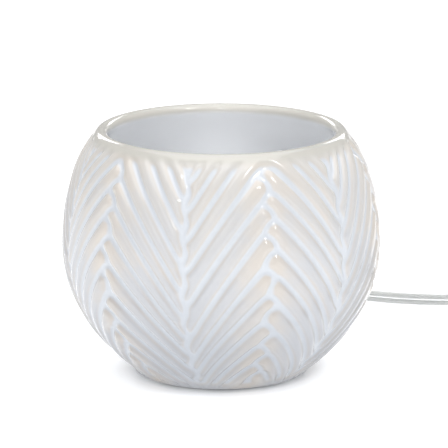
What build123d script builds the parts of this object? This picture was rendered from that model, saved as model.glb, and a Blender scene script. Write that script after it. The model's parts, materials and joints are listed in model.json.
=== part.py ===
from build123d import *
import math
import os

# Electric wax melt warmer: a ceramic ball with an open mouth, a hot plate on its inner floor under a
# lift-out wax dish, and a flat twin cord with an in-line rocker switch and a two-blade plug.
# Millimetres, +Z up, origin on the table under the middle of the ball. The cord leaves at the rear, +Y.

# Ceramic ball
ball_radius = 65.0
ball_height = 101.0
widest_height = 53.5
wall = 5.0
lip_radius = 48.8  # middle of the wall at the lip
foot_radius = 30.8  # middle of the wall at the foot
foot_gap = 1.0  # the ceramic stands this far off the table
foot_step = 0.3  # the opening's edge lies this far inside the wall's middle
floor_top = 40.0
floor_thickness = 5.0
bowl_corner = 10.0
cavity_corner = 4.0
foot_edge_round = 0.8
shoulder_first = 0.52  # how the two arcs of the shoulder share its turn
shoulder_total = 1.215
belly_first = 0.50  # how the two arcs of the belly share its turn
belly_total = 0.908

# Herringbone carved round the ball, in panels whose grooves rise to the right and to the left in turn
panel_count = 12
front_valley = -13.0  # degrees from the front to the nearest valley between panels, positive to the right
groove_pitch = 12.2  # along the wall
groove_rise = 46.0  # along the wall, from a panel's valley to its peak
groove_bow = 0.3  # how much steeper a groove is at its valley than at its peak
groove_width = 3.2
groove_depth = 1.2
groove_first = 103.0  # top groove in its valley, along the wall from the foot
shortest_groove = 0.2  # share of a panel's width below which a groove is left out
carved_from = 7.0  # smooth below and above these, along the wall from the foot
carved_to = 110.0

# Hot plate and the stack that clamps it to the ceramic floor
plate_radius = 29.0
plate_thickness = 3.0
plate_edge = 0.6
gasket_thickness = 1.5
gasket_width = 2.7
heater_hole = 18.0
heater_gap = 1.5
heater_depth = 7.5
slot_length = 26.0
slot_width = 9.0
slot_depth = 4.0
element_gap = 0.5
mica_thickness = 0.8
spider_thickness = 1.2
spider_hub = 14.0
spider_hole = 9.0
spider_arm = 9.0
shield_radius = 29.0
shield_thickness = 0.8
shield_lip = 3.0
stud_radius = 1.5
stud_inset = 2.8  # from the gasket's inner edge to the stud circle
stud_count = 3
stud_first_angle = 30.0
stud_clearance = 0.2
ceramic_hole_clearance = 0.7
washer_radius = 4.5
tab_spacing = 8.0
tab_width = 5.0
tab_thickness = 0.8
tab_drop = 12.0
tab_clearance = 0.4

# Hexagon posts, base cover, its screws and the rubber feet
post_across_flats = 6.0
post_stud_depth = 6.0
thread_clearance = 0.1
cover_clearance = 0.4
cover_thickness = 2.2
cover_recess = 0.4
boss_radius = 4.6
boss_height = 2.0
screw_head_radius = 2.8
screw_head_height = 2.0
screw_length = 8.0
driver_slot_width = 0.8
driver_slot_depth = 0.9
vent_count = 5
vent_length = 9.0
vent_width = 2.0
vent_circle = 15.0
vent_step = 30.0
pad_radius = 4.5
pad_margin = 1.6
pad_depth = 1.0
pad_clearance = 0.1
bore_extra = 1.0
overcut = 1.0  # cutting bodies reach this far past the faces they open

# Wax dish
dish_wall = 3.0
dish_height = 27.0
dish_rim_radius = 39.0
dish_rim_bead = 2.0
dish_skirt_depth = 2.0
dish_skirt_width = 4.4
dish_seat_gap = 0.6
dish_corner = 8.0

# Terminal block, thermal fuse and inner leads
plinth_height = 2.4
plinth_margin = 1.0
block_width = 18.0
block_depth = 12.0
block_height = 11.0
block_front = 5.0
pole_spacing = 8.0
pole_height = 6.4
tube_radius = 2.4
tube_bore = 1.3
tube_inset = 1.0
tube_clearance = 0.1
clamp_screw_radius = 1.5
clamp_screw_height = 1.6
clamp_screw_spacing = 5.0
block_screw_radius = 1.2
block_screw_head = 2.3
block_screw_head_height = 1.6
lead_radius = 1.1
lead_grip = 4.0
lead_bend = 3.0
fuse_bend = 2.1
fuse_radius = 2.2
fuse_length = 14.0
fuse_offset = 12.0
clip_thickness = 0.6
clip_width = 5.0
clip_foot = 3.0
clip_clearance = 0.1

# Flat twin cord, standing on edge, and its strain relief
cord_thickness = 2.5
cord_width = 4.8
exit_height = 15.0
relief_radius = 4.8
relief_hole_clearance = 0.2
relief_tip_radius = 3.6
relief_wall_run = 4.9  # straight part outside the wall
relief_taper = 17.0
relief_collar_radius = 6.8
relief_ring_count = 4
relief_ring_pitch = 3.6
relief_ring_width = 1.4
relief_ring_depth = 0.5
relief_ring_first = 2.2
cord_tail = 4.0  # sheath inside the ball, past the strain relief
core_run = 10.0  # bare cores between the terminal block and the sheath
cord_clearance = 0.15
cord_lift = 0.2  # the free cord's lowest run clears the table by this
bend_share = 0.45  # share of a run that each of its bends may take

# In-line switch
switch_length = 54.0
switch_width = 22.0
switch_height = 15.0
switch_wall = 1.8
switch_corner = 8.0
switch_top_round = 3.0
switch_bottom_round = 1.2
switch_grip = 5.0  # length of cord held in each end
switch_slot_clearance = 0.5
parting_height = 5.0
window_gap = 0.4
pivot_drop = 4.0  # from the switch's top to the rocker's axis
rocker_sweep = 8.4
rocker_width = 10.4
rocker_depth = 3.0
rocker_rise = 4.4
rocker_dish = 1.2
rocker_tilt = 10.0
trunnion_radius = 1.5
trunnion_length = 1.7
trunnion_clearance = 0.08
rib_gap = 0.4
rib_thickness = 1.6
rib_width = 6.0
bridge_place = 5.5
bridge_width = 3.0
bridge_span = 9.0
bridge_thickness = 0.5
contact_gap = 0.25
contact_thickness = 0.8
contact_width = 3.0
contact_spacing = 6.0
contact_end = 13.0
switch_screw_inset = (10.0, 4.4)  # from the switch's end and side
switch_screw_radius = 1.2
switch_screw_head = 2.1
switch_screw_head_height = 1.2
switch_boss_radius = 2.5
core_radius = 0.9
core_gap = 0.7

# Plug
plug_tail_wall = 1.2
plug_neck_place = 11.0
plug_neck_width = 9.0
plug_neck_height = 9.5
plug_body_place = 20.0
plug_body_width = 22.0
plug_length = 36.0
plug_front_width = 25.0
plug_height = 14.0
plug_corner = 4.5
plug_tail_corner = 2.2
grip_count = 3
grip_first = 23.0
grip_pitch = 3.2
grip_width = 1.2
grip_depth = 0.8
blade_spacing = 12.7
blade_thickness = 1.5
blade_width = 6.35
wide_blade_width = 7.9
blade_length = 16.5
blade_root = 6.0
blade_tip = 0.5
blade_hole = 1.6
blade_hole_place = 12.0

# Put-away coil and its tie
coil_turns = 6
coil_radius = 32.4
coil_turn_gap = 0.9
coil_layer_gap = 0.5
coil_climb = 0.5  # share of a turn in which the cord climbs to the upper layer
tie_angle = 150.0
tie_clearance = 0.3
tie_strap = 0.6
tie_width = 6.0
tie_corner = 3.0
tie_twist_radius = 1.1
tie_twist_length = 10.0

# Levels of the clamped stack
floor_under = floor_top - floor_thickness
plate_under = floor_top + gasket_thickness
plate_top = plate_under + plate_thickness
heater_under = plate_under - heater_depth
mica_under = heater_under - mica_thickness
spider_under = mica_under - spider_thickness
shield_under = spider_under - shield_thickness
cover_under = foot_gap + cover_recess
cover_top = cover_under + cover_thickness
post_under = cover_top + boss_height
plinth_top = cover_top + plinth_height
pole_level = plinth_top + pole_height
tab_under = heater_under - tab_drop
fuse_level = shield_under - fuse_radius


on_base = (Align.CENTER, Align.CENTER, Align.MIN)


def stud_places():
    return PolarLocations(stud_circle, stud_count, stud_first_angle)


def two_arcs(rise, draw_in, first_share, total_share):
    # Radii and turns of two tangent arcs that start upright and end at the given rise and draw-in
    chord_turn = 2 * math.atan2(draw_in, rise)
    first = first_share * chord_turn
    total = total_share * chord_turn
    rise_1 = math.sin(first)
    rise_2 = math.sin(total) - rise_1
    in_1 = 1 - math.cos(first)
    in_2 = math.cos(first) - math.cos(total)
    det = rise_1 * in_2 - rise_2 * in_1
    return (rise * in_2 - rise_2 * draw_in) / det, (rise_1 * draw_in - in_1 * rise) / det, first, total


middle_radius = ball_radius - wall / 2
lip_middle = ball_height - wall / 2
shoulder = two_arcs(lip_middle - widest_height, middle_radius - lip_radius, shoulder_first, shoulder_total)
belly = two_arcs(widest_height - foot_gap, middle_radius - foot_radius, belly_first, belly_total)


def belly_radius(height, outward):
    # Radius of the belly on a level, off the wall's middle line
    radius_1, radius_2, first, total = belly
    drop = widest_height - height
    inset = middle_radius - radius_1
    if drop <= (radius_1 + outward) * math.sin(first):
        return inset + math.sqrt((radius_1 + outward) ** 2 - drop ** 2)
    inset += (radius_1 - radius_2) * math.cos(first)
    drop -= (radius_1 - radius_2) * math.sin(first)
    return inset + math.sqrt((radius_2 + outward) ** 2 - drop ** 2)


# Places that follow from the sizes above
stud_circle = plate_radius - gasket_width - stud_inset
foot_opening = foot_radius - foot_step
pad_circle = foot_opening - cover_clearance - pad_radius - pad_margin
relief_taper_start = belly_radius(exit_height, wall / 2) + relief_wall_run
relief_tip = relief_taper_start + relief_taper
cord_split = block_front + block_depth + core_run
relief_inner_end = cord_split + cord_tail
window_length = 2 * (rocker_sweep + window_gap)
window_width = rocker_width + 2 * window_gap
pivot_height = switch_height - pivot_drop
core_side = switch_width / 2 - switch_wall - core_radius - core_gap
block_middle = block_front + block_depth / 2
coil_pitch = cord_thickness + coil_turn_gap
coil_layer = cord_width + coil_layer_gap
coil_start_run = cord_width
lobe_radius = cord_thickness / 2
lobe_offset = cord_width / 2 - lobe_radius

# Routes of the free cord, from the strain relief to the switch, on to the coil, and to the plug.
# Their Y places are counted from the strain relief's tip.
cord_rest = cord_width / 2 + cord_lift
lead_route = [
    (0.0, relief_tip, exit_height),
    (0.0, relief_tip + 19.0, exit_height),
    (12.0, relief_tip + 35.5, 10.2),
    (38.0, relief_tip + 41.6, 4.4),
    (68.0, relief_tip + 31.9, cord_rest),
    (97.0, relief_tip + 24.9, cord_rest + 0.3),
    (113.0, relief_tip + 20.7, parting_height),
    (127.0, relief_tip + 16.9, parting_height),
]
switch_heading = math.atan2(lead_route[-1][1] - lead_route[-2][1], lead_route[-1][0] - lead_route[-2][0])
switch_way = Vector(math.cos(switch_heading), math.sin(switch_heading))
switch_reach = switch_length / 2 - switch_grip
switch_centre = Vector(lead_route[-1][0], lead_route[-1][1]) + switch_way * switch_reach
link_start = switch_centre + switch_way * switch_reach + Vector(0, 0, parting_height)
link_first_run = 14.0
coil_floor = tie_strap + tie_clearance + cord_width / 2
coil_entry = (206.5, relief_tip - 38.0, coil_floor)
link_route = [
    tuple(link_start),
    tuple(link_start + switch_way * link_first_run),
    (198.5, relief_tip - 7.0, coil_floor + 0.3),
    (coil_entry[0], relief_tip - 22.0, coil_floor),
    coil_entry,
]
coil_first = Vector(coil_entry[0], coil_entry[1] - coil_start_run, coil_floor)
coil_centre = Vector(coil_first.X - coil_radius, coil_first.Y)
coil_exit = (coil_first.X, coil_first.Y - coil_start_run, coil_floor + coil_layer)
plug_middle = plug_height / 2
end_route = [
    coil_exit,
    (coil_exit[0], relief_tip - 61.0, coil_exit[2]),
    (202.5, relief_tip - 77.0, 4.6),
    (189.0, relief_tip - 90.0, coil_floor + 0.1),
    (174.5, relief_tip - 94.5, plug_middle),
    (162.5, relief_tip - 97.0, plug_middle),
]
plug_heading = math.atan2(end_route[-1][1] - end_route[-2][1], end_route[-1][0] - end_route[-2][0])


def arc_pair(arcs, side, outward):
    # The two arcs from the widest level upward (side 1) or downward (side -1), off the wall's middle line
    radius_1, radius_2, first, total = arcs
    centre_1 = Vector(middle_radius - radius_1, widest_height)
    centre_2 = centre_1 + Vector(math.cos(first), side * math.sin(first)) * (radius_1 - radius_2)
    turn_1 = side * math.degrees(first)
    turn_2 = side * math.degrees(total - first)
    return [
        CenterArc(centre_1, radius_1 + outward, 0, turn_1),
        CenterArc(centre_2, radius_2 + outward, turn_1, turn_2),
    ]


def band(left, right, low, high):
    # A rectangle in the half section, from radius left to right and from height low to high
    return Pos((left + right) / 2, (low + high) / 2) * Rectangle(right - left, high - low)


def corner_at(section, height):
    # The outermost corner of a half section on a level
    on_level = [v for v in section.vertices() if abs(v.Y - height) < 1e-4]
    return max(on_level, key=lambda v: v.X)


def spin(section):
    return revolve(Plane.XZ * section, axis=Axis.Z)


def inner_region():
    # Half section of the hollow inside the wall
    arcs = arc_pair(shoulder, 1, -wall / 2) + arc_pair(belly, -1, -wall / 2)
    top = arcs[1] @ 1
    bottom = arcs[3] @ 1
    axis_top = (0, top.Y)
    axis_bottom = (0, bottom.Y)
    return make_face(arcs + [Polyline(top, axis_top, axis_bottom, bottom)])


def wall_spot(climb):
    # Radius and height on the outer wall, some way up along it from the foot
    belly_arcs = arc_pair(belly, -1, wall / 2)
    shoulder_arcs = arc_pair(shoulder, 1, wall / 2)
    rest = belly_arcs[0].length + belly_arcs[1].length - climb
    near, far = belly_arcs if rest > 0 else shoulder_arcs
    run = abs(rest)
    if run < near.length:
        return near @ (run / near.length)
    return far @ ((run - near.length) / far.length)


def groove_climb(base, share):
    return base + groove_rise * (share + groove_bow * share * (1 - share))


def groove_cut(base):
    # A V groove on one panel, bent to the wall along an arc; the panel's valley lies on +X
    shares = [step / 50 for step in range(-3, 54)]
    kept = [share for share in shares if carved_from < groove_climb(base, share) < carved_to]
    if len(kept) < shortest_groove * 50:
        return None
    points = []
    for share in (kept[0], (kept[0] + kept[-1]) / 2, kept[-1]):
        spot = wall_spot(groove_climb(base, share))
        points.append(Vector(spot.X, 0, spot.Y).rotate(Axis.Z, share * 360 / panel_count))
    arc = ThreePointArc(*points)
    outward = points[0] - arc.arc_center
    flare = groove_width / 2 * (1 + overcut / groove_depth)
    section = make_face(Polyline((-groove_depth, 0), (overcut, flare), (overcut, -flare), close=True))
    section = Plane(origin=points[0], x_dir=outward, z_dir=arc % 0) * section
    return revolve(section, Axis(arc.arc_center, arc.normal()), math.degrees(arc.length / arc.radius))


def groove_cuts():
    # The grooves of one panel end at its edges; they are mirrored at its valley and repeated round the ball
    panel = revolve(Plane.XZ * band(0, ball_radius * 2, 0, ball_height), Axis.Z, 360 / panel_count)
    count = math.ceil((groove_first + groove_rise) / groove_pitch)
    tools = [groove_cut(groove_first - index * groove_pitch) for index in range(count)]
    tools = [tool & panel for tool in tools if tool]
    pair = tools + [mirror(tool, Plane.XZ) for tool in tools]
    turns = [front_valley - 90 + 720 / panel_count * index for index in range(panel_count // 2)]
    return [Rot(Z=turn) * tool for turn in turns for tool in pair]


def make_ceramic_shell():
    outer = arc_pair(shoulder, 1, wall / 2) + arc_pair(belly, -1, wall / 2)
    inner = arc_pair(shoulder, 1, -wall / 2) + arc_pair(belly, -1, -wall / 2)
    lip_turn = shoulder[3]
    lip_way = Vector(-math.sin(lip_turn), math.cos(lip_turn))
    lip_end = Vector(lip_radius, lip_middle) + lip_way * (wall / 2)
    lip = ThreePointArc(outer[1] @ 1, lip_end, inner[1] @ 1)
    foot = Line(outer[3] @ 1, inner[3] @ 1)
    wall_band = make_face(outer + inner + [lip, foot])
    hollow = inner_region()
    floor_slab = hollow & band(heater_hole, ball_radius, floor_under, floor_top)
    section = wall_band + floor_slab
    bowl_edge = corner_at(hollow & band(0, ball_radius, floor_top, ball_height), floor_top)
    cavity_edge = corner_at(hollow & band(0, ball_radius, 0, floor_under), floor_under)
    for edge, radius in ((bowl_edge, bowl_corner), (cavity_edge, cavity_corner)):
        corner = section.vertices().sort_by_distance((edge.X, edge.Y, 0))[0]
        section = fillet(corner, radius)
    section -= band(0, ball_radius, -ball_height, foot_gap)
    section -= band(0, foot_opening, -ball_height, floor_under - cavity_corner)
    section = fillet(corner_at(section, foot_gap), foot_edge_round)
    shell = spin(section) - groove_cuts()
    hole = Cylinder(stud_radius + ceramic_hole_clearance, floor_thickness * 3)
    shell -= stud_places() * (Pos(Z=floor_top) * hole)
    return shell - along_y(relief_radius + relief_hole_clearance, 0, ball_radius, exit_height)


def disc(radius, low, high):
    return Pos(Z=low) * Cylinder(radius, high - low, align=on_base)


def ring(inner, outer, low, high):
    return disc(outer, low, high) - disc(inner, low - overcut, high + overcut)


def along_y(radius, start, end, height):
    # A round bar along Y
    return Pos(0, start, height) * Rot(X=-90) * Cylinder(radius, end - start, align=on_base)


def make_hot_plate():
    plate = disc(plate_radius, plate_under, plate_top)
    return chamfer(plate.edges().group_by(Axis.Z)[-1], plate_edge)


def make_plate_gasket():
    return ring(plate_radius - gasket_width, plate_radius, floor_top, plate_under)


def make_plate_studs():
    low = shield_under - post_stud_depth
    return Part() + stud_places() * disc(stud_radius, low, plate_under)


def make_stud_washers():
    washer = ring(stud_radius + stud_clearance, washer_radius, mica_under, floor_under)
    return Part() + stud_places() * washer


def make_heater_block():
    block = disc(heater_hole - heater_gap, heater_under, plate_under)
    slot = Pos(Z=heater_under) * Box(slot_length, slot_width, 2 * slot_depth)
    return block - slot


def make_heating_element():
    height = slot_depth - element_gap
    size = (slot_length - 2 * element_gap, slot_width - 2 * element_gap)
    return Pos(Z=heater_under) * Box(*size, height, align=on_base)


def tab_places():
    return [Pos(X=-tab_spacing / 2), Pos(X=tab_spacing / 2)]


def make_heater_tabs():
    tab = Box(tab_thickness, tab_width, tab_drop, align=(Align.CENTER, Align.CENTER, Align.MAX))
    return Part() + [place * Pos(Z=heater_under) * tab for place in tab_places()]


def make_mica_disc():
    mica = disc(heater_hole - heater_gap, mica_under, heater_under)
    hole = Box(tab_thickness + 2 * tab_clearance, tab_width + 2 * tab_clearance, 4 * mica_thickness)
    return mica - [place * Pos(Z=mica_under) * hole for place in tab_places()]


def make_clamp_spider():
    flat = Circle(spider_hub)
    arm = Pos(X=stud_circle / 2) * Rectangle(stud_circle, spider_arm)
    arm += Pos(X=stud_circle) * Circle(spider_arm / 2)
    flat += [Rot(Z=stud_first_angle + 360 * index / stud_count) * arm for index in range(stud_count)]
    flat -= Circle(spider_hole)
    flat -= stud_places() * Circle(stud_radius + stud_clearance)
    return extrude(Pos(Z=spider_under) * flat, spider_thickness)


def make_heat_shield():
    section = band(spider_hole, shield_radius, shield_under, spider_under)
    section += band(shield_radius - shield_thickness, shield_radius, shield_under - shield_lip, spider_under)
    hole = Cylinder(stud_radius + stud_clearance, 4 * shield_thickness)
    return spin(section) - stud_places() * (Pos(Z=shield_under) * hole)


def make_cover_posts():
    bore = stud_radius + thread_clearance
    flat_radius = post_across_flats / 2 / math.cos(math.pi / 6)
    post = extrude(Pos(Z=post_under) * RegularPolygon(flat_radius, 6), shield_under - post_under)
    post -= disc(bore, shield_under - post_stud_depth - bore_extra, shield_under + overcut)
    post -= disc(bore, post_under - overcut, cover_under + screw_head_height + screw_length + bore_extra)
    return Part() + stud_places() * post


def make_cover_screws():
    seat = cover_under + screw_head_height
    screw = disc(screw_head_radius, cover_under, seat) + disc(stud_radius, seat, seat + screw_length)
    screw -= Pos(Z=cover_under) * Box(2 * screw_head_radius, driver_slot_width, 2 * driver_slot_depth)
    return Part() + stud_places() * screw


def pad_places():
    return PolarLocations(pad_circle, stud_count, stud_first_angle + 180 / stud_count)


def make_base_cover():
    cover = disc(foot_opening - cover_clearance, cover_under, cover_top)
    cover += stud_places() * disc(boss_radius, cover_under, post_under)
    plinth_size = (block_width + 2 * plinth_margin, block_depth + 2 * plinth_margin)
    plinth = Box(*plinth_size, plinth_height, align=on_base)
    cover += Pos(0, block_middle, cover_top) * plinth
    seat = cover_under + screw_head_height
    cover -= stud_places() * disc(screw_head_radius + stud_clearance, cover_under - overcut, seat)
    cover -= stud_places() * disc(stud_radius + stud_clearance, seat - overcut, post_under + overcut)
    cover -= pad_places() * disc(pad_radius + pad_clearance, cover_under - overcut, cover_under + pad_depth)
    cover -= Pos(0, block_middle) * disc(block_screw_radius, cover_top, plinth_top + overcut)
    for index in range(vent_count):
        angle = 270 + vent_step * (index - (vent_count - 1) / 2)
        vent = Rot(Z=angle) * Pos(X=vent_circle) * SlotOverall(vent_length, vent_width)
        cover -= extrude(Pos(Z=cover_under - overcut) * vent, cover_thickness + 2 * overcut)
    return cover


def make_rubber_feet():
    foot = disc(pad_radius, 0, cover_under + pad_depth)
    foot = fillet(foot.edges().group_by(Axis.Z)[0], foot_edge_round)
    return Part() + pad_places() * foot


def make_wax_dish():
    seat_radius = plate_radius + dish_seat_gap
    skirt_radius = seat_radius + dish_skirt_width
    skirt_low = plate_top - dish_skirt_depth
    inner_floor = plate_top + dish_wall
    rim = plate_top + dish_height - dish_rim_bead
    section = make_face(Polyline(
        (0, plate_top),
        (seat_radius, plate_top),
        (seat_radius, skirt_low),
        (skirt_radius, skirt_low),
        (dish_rim_radius, rim),
        (dish_rim_radius - dish_wall, rim),
        (skirt_radius - dish_wall, inner_floor),
        (0, inner_floor),
        close=True,
    ))
    inner_corner = section.vertices().sort_by_distance((skirt_radius - dish_wall, inner_floor, 0))[0]
    section = fillet(inner_corner, dish_corner)
    outer_corner = section.vertices().sort_by_distance((skirt_radius, skirt_low, 0))[0]
    section = fillet(outer_corner, dish_skirt_depth / 2)
    section += Pos(dish_rim_radius - dish_wall / 2, rim) * Circle(dish_rim_bead)
    return spin(section)


def pole_places():
    return [Pos(X=-pole_spacing / 2), Pos(X=pole_spacing / 2)]


def clamp_screw_places():
    rows = [-clamp_screw_spacing / 2, clamp_screw_spacing / 2]
    return [pole * Pos(Y=block_middle + row) for pole in pole_places() for row in rows]


def make_terminal_block():
    block = Box(block_width, block_depth, block_height, align=on_base)
    block = Pos(0, block_middle, plinth_top) * block
    top = plinth_top + block_height + overcut
    rear = block_front + block_depth + overcut
    bore = along_y(tube_radius + tube_clearance, block_front - overcut, rear, pole_level)
    block -= [place * bore for place in pole_places()]
    well = disc(clamp_screw_radius + tube_clearance, pole_level, top)
    block -= [place * well for place in clamp_screw_places()]
    return block - Pos(Y=block_middle) * disc(block_screw_radius + tube_clearance, 0, top)


def make_terminal_tubes():
    start = block_front + tube_inset
    end = block_front + block_depth - tube_inset
    tube = along_y(tube_radius, start, end, pole_level)
    tube -= along_y(tube_bore, start - overcut, end + overcut, pole_level)
    return Part() + [place * tube for place in pole_places()]


def make_terminal_screws():
    low = pole_level + tube_radius
    top = low + clamp_screw_height
    screw = disc(clamp_screw_radius, low, top)
    screw -= Pos(Z=top) * Box(2 * clamp_screw_radius, driver_slot_width, driver_slot_depth)
    return Part() + [place * screw for place in clamp_screw_places()]


def make_block_screw():
    seat = plinth_top + block_height
    top = seat + block_screw_head_height
    screw = disc(block_screw_radius, cover_top, seat) + disc(block_screw_head, seat, top)
    screw -= Pos(Z=top) * Box(2 * block_screw_head, driver_slot_width, 2 * driver_slot_depth)
    return Pos(Y=block_middle) * screw


def wire(points, radius, bends):
    path = FilletPolyline(*points, radius=bends)
    return sweep(Plane(origin=path @ 0, z_dir=path % 0) * Circle(radius), path=path)


def make_thermal_fuse():
    return Pos(X=fuse_offset) * along_y(fuse_radius, -fuse_length / 2, fuse_length / 2, fuse_level)


def make_fuse_clip():
    inner = fuse_radius + clip_clearance
    outer = inner + clip_thickness
    half = Circle(outer) - Circle(inner)
    half -= Pos(Y=outer) * Rectangle(4 * outer, 2 * outer)
    cheeks = Rectangle(2 * outer, fuse_radius, align=(Align.CENTER, Align.MIN))
    cheeks -= Rectangle(2 * inner, fuse_radius, align=(Align.CENTER, Align.MIN))
    feet = Pos(Y=fuse_radius - clip_thickness / 2) * Rectangle(2 * (outer + clip_foot), clip_thickness)
    feet -= Rectangle(2 * inner, 4 * outer)
    section = half + cheeks + feet
    middle = Plane(origin=(fuse_offset, clip_width / 2, fuse_level), x_dir=(1, 0, 0), z_dir=(0, -1, 0))
    return extrude(middle * section, clip_width)


def make_live_lead():
    side = pole_spacing / 2
    front = -fuse_length / 2
    points = [
        (side, block_front + tube_inset + lead_grip, pole_level),
        (side, front, pole_level),
        (fuse_offset, 2 * front, pole_level + 2 * lead_bend),
        (fuse_offset, 2 * front, fuse_level),
        (fuse_offset, front, fuse_level),
    ]
    return wire(points, lead_radius, lead_bend)


def make_fuse_link():
    side = tab_spacing / 2
    rear = fuse_length / 2
    block_clear = plinth_top + block_height + 2 * lead_bend
    points = [
        (fuse_offset, rear, fuse_level),
        (fuse_offset, rear + 2 * lead_bend, fuse_level),
        (side, rear + lead_bend, block_clear),
        (side, 0, tab_under - 2 * lead_bend),
        (side, 0, tab_under),
    ]
    return wire(points, lead_radius, [fuse_bend, lead_bend, lead_bend])


def make_neutral_lead():
    side = pole_spacing / 2
    points = [
        (-side, block_front + tube_inset + lead_grip, pole_level),
        (-side, 0, pole_level),
        (-side, 0, tab_under),
    ]
    return wire(points, lead_radius, lead_bend)


def cord_section(extra):
    # Two round lobes side by side; the long way is the local X
    lobe = Circle(lobe_radius + extra)
    return Pos(X=-lobe_offset) * lobe + Pos(X=lobe_offset) * lobe + Rectangle(2 * lobe_offset, lobe_radius)


def upright_section(path, extra):
    # The cord's section square to the start of a path, standing on edge
    return Plane(origin=path @ 0, x_dir=(0, 0, 1), z_dir=path % 0) * cord_section(extra)


def make_cord_inlet():
    path = Line((0, cord_split, exit_height), (0, relief_tip, exit_height))
    return sweep(upright_section(path, 0), path=path)


def make_cord_cores():
    start = cord_split
    end = block_front + block_depth - tube_inset - lead_grip
    cores = Part()
    for side in (-1, 1):
        level = exit_height - side * lobe_offset
        points = [
            (0, start, level),
            (0, start - lead_bend, level),
            (side * pole_spacing / 2, start - 3 * lead_bend, pole_level),
            (side * pole_spacing / 2, end, pole_level),
        ]
        cores += wire(points, core_radius, lead_bend)
    return cores


def make_strain_relief():
    body = make_face(Polyline(
        (0, relief_inner_end),
        (relief_radius, relief_inner_end),
        (relief_radius, relief_taper_start),
        (relief_tip_radius, relief_tip),
        (0, relief_tip),
        close=True,
    ))
    for index in range(relief_ring_count):
        place = relief_tip - relief_ring_first - relief_ring_pitch * index
        share = (relief_tip - place) / (relief_tip - relief_taper_start)
        depth = relief_tip_radius + (relief_radius - relief_tip_radius) * share - relief_ring_depth
        body -= Pos(depth + ball_radius / 2, place) * Rectangle(ball_radius, relief_ring_width)
    axis_plane = Plane(origin=(0, 0, exit_height), x_dir=(1, 0, 0), z_dir=(0, 0, 1))
    axis = Axis((0, 0, exit_height), (0, 1, 0))
    sleeve = revolve(axis_plane * body, axis=axis)
    collar = along_y(relief_collar_radius, relief_inner_end, ball_radius, exit_height)
    sleeve += collar & spin(inner_region())
    path = Line((0, relief_inner_end - overcut, exit_height), (0, relief_tip + overcut, exit_height))
    return sleeve - sweep(upright_section(path, cord_clearance), path=path)


def free_cord(name, route):
    # A tube along straight runs joined by the largest arcs that the runs allow
    points = [Vector(*point) for point in route]
    radii = []
    for before, here, after in zip(points, points[1:], points[2:]):
        turn = math.radians((here - before).get_angle(after - here))
        run = min((here - before).length, (after - here).length)
        radii.append(bend_share * run / math.tan(turn / 2))
    path = FilletPolyline(*points, radius=radii)
    solid = sweep(upright_section(path, 0), path=path)
    expected = cord_section(0).area * path.length
    print(name, "radii", [round(radius, 1) for radius in radii], "length", round(path.length, 1))
    print(name, "volume", round(solid.volume, 1), "section times length", round(expected, 1))
    return solid


def coil_point(turn):
    # The cord's middle after a number of turns: in along the lower layer, out again along the upper one
    half = coil_turns / 2
    radius = coil_radius - coil_pitch * (half - abs(turn - half))
    climb = min(max((turn - half) / coil_climb + 0.5, 0), 1)
    level = coil_floor + coil_layer * climb * climb * (3 - 2 * climb)
    angle = -2 * math.pi * turn
    return Vector(coil_centre.X + radius * math.cos(angle), coil_centre.Y + radius * math.sin(angle), level)


def biarc(start, start_way, end, end_way):
    # Two tangent arcs between two points with given directions
    span = end - start
    ways = start_way + end_way
    spread = 2 * (1 - start_way.dot(end_way))
    along = span.dot(ways)
    reach = (math.sqrt(along * along + spread * span.dot(span)) - along) / spread
    joint = (start + start_way * reach + end - end_way * reach) * 0.5
    first = TangentArc(start, joint, tangent=start_way)
    return [first, TangentArc(joint, end, tangent=first % 1)]


def coil_gap():
    # Least clear distance between turns, measured between points on the two lobes
    steps = 72
    count = coil_turns * steps
    points = [coil_point(index / steps) for index in range(count + 1)]
    least = ball_radius
    for index, here in enumerate(points):
        for there in points[index + steps // 2:]:
            across = math.hypot(here.X - there.X, here.Y - there.Y)
            if across < 2 * cord_width:
                rise = max(abs(here.Z - there.Z) - 2 * lobe_offset, 0)
                least = min(least, math.hypot(across, rise) - cord_thickness)
    return least


def make_cord_coil():
    down = Vector(0, -1, 0)
    step = 0.001
    edges = [Line(coil_entry, coil_first)]
    start = coil_first
    start_way = down
    quarters = 4 * coil_turns
    for index in range(1, quarters + 1):
        turn = index / 4
        end = coil_point(turn)
        end_way = (coil_point(turn + step) - coil_point(turn - step)).normalized()
        if index == quarters:
            end_way = down
        edges += biarc(start, start_way, end, end_way)
        start = end
        start_way = end_way
    edges.append(Line(start, coil_exit))
    path = Wire(edges)
    solid = sweep(upright_section(path, 0), path=path)
    expected = cord_section(0).area * path.length
    print("cord_coil length", round(path.length, 1), "least gap", round(coil_gap(), 2))
    print("cord_coil volume", round(solid.volume, 1), "section times length", round(expected, 1))
    return solid


def make_cord_tie():
    inner_radius = coil_radius - coil_pitch * coil_turns / 2 - cord_thickness / 2
    outer_radius = coil_radius + cord_thickness / 2
    width = outer_radius - inner_radius + 2 * tie_clearance
    height = coil_layer + cord_width + 2 * tie_clearance
    strap = RectangleRounded(width + 2 * tie_strap, height + 2 * tie_strap, tie_corner + tie_strap)
    strap -= RectangleRounded(width, height, tie_corner)
    middle = (inner_radius + outer_radius) / 2
    tie = extrude(Rot(X=90) * strap, tie_width / 2, both=True)
    top = height / 2 + tie_strap
    twist = Rot(Y=90) * Cylinder(tie_twist_radius, tie_twist_length)
    twist = Pos(Z=top + tie_twist_radius - tie_strap / 2) * twist
    lift = Pos(middle, 0, top)
    return Pos(coil_centre.X, coil_centre.Y) * Rot(Z=tie_angle) * lift * (tie + twist)


switch_place = Location(switch_centre, (0, 0, math.degrees(switch_heading)))


def switch_outline(inset):
    return RectangleRounded(switch_length - 2 * inset, switch_width - 2 * inset, switch_corner - inset)


def switch_slots():
    thick = cord_thickness + 2 * switch_slot_clearance
    tall = cord_width + 2 * switch_slot_clearance
    return Pos(Z=parting_height) * Box(switch_length + 2 * overcut, thick, tall)


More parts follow.
